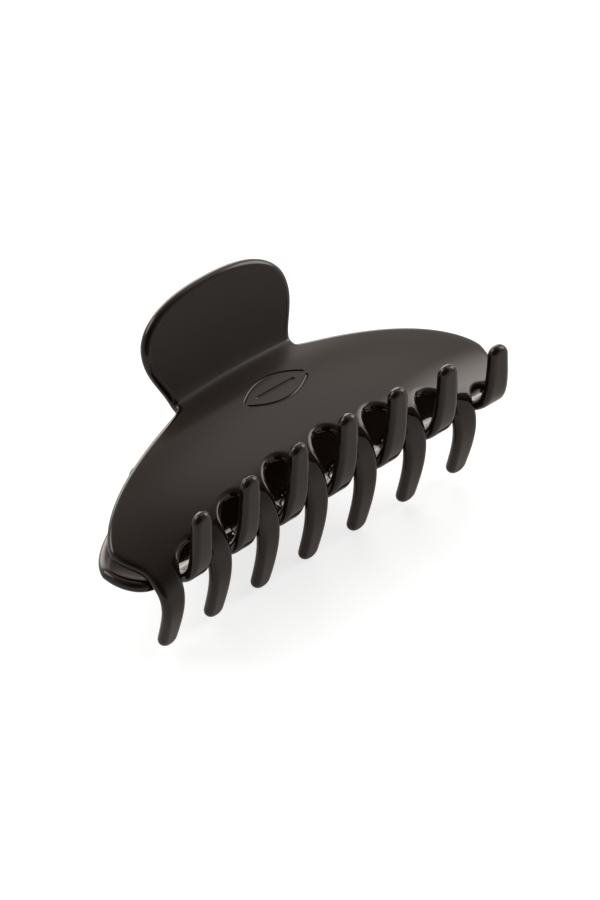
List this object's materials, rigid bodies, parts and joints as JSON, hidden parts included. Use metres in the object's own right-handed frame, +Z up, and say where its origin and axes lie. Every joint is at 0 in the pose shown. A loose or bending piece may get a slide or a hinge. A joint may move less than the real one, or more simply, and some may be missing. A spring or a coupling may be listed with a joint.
{
  "type": "claw clip",
  "caption": "Hair claw clip: paired moulded jaws with long curved teeth and rounded finger pads, turning on a steel pin against a torsion spring.",
  "frame": {"origin": "centre of the closed clip's footprint, on the surface it lies on", "axes": "+X along the hinge and the row of teeth, +Y from the teeth to the finger pads, +Z up from the surface"},
  "size_m": [0.1002, 0.0518, 0.0516],
  "materials": {
    "jaw_plastic": "polished near-black moulded acetate with a warm brown cast",
    "pin_steel": "drawn steel rod with headed ends",
    "spring_steel": "drawn spring wire"
  },
  "bodies": {
    "rear": {"rear_jaw": "jaw_plastic", "hinge_pin": "pin_steel", "torsion_spring": "spring_steel"},
    "front": {"front_jaw": "jaw_plastic"}
  },
  "joints": [
    {"name": "jaw_hinge", "type": "hinge", "parent": "rear", "child": "front", "pos_m": [0, 0.01265, 0.02442], "axis": [-1, 0, 0], "range_deg": [0, 120], "stiffness_Nm_per_rad": 0.08, "springref_deg": -45.84, "deforming": ["torsion_spring"]}
  ]
}
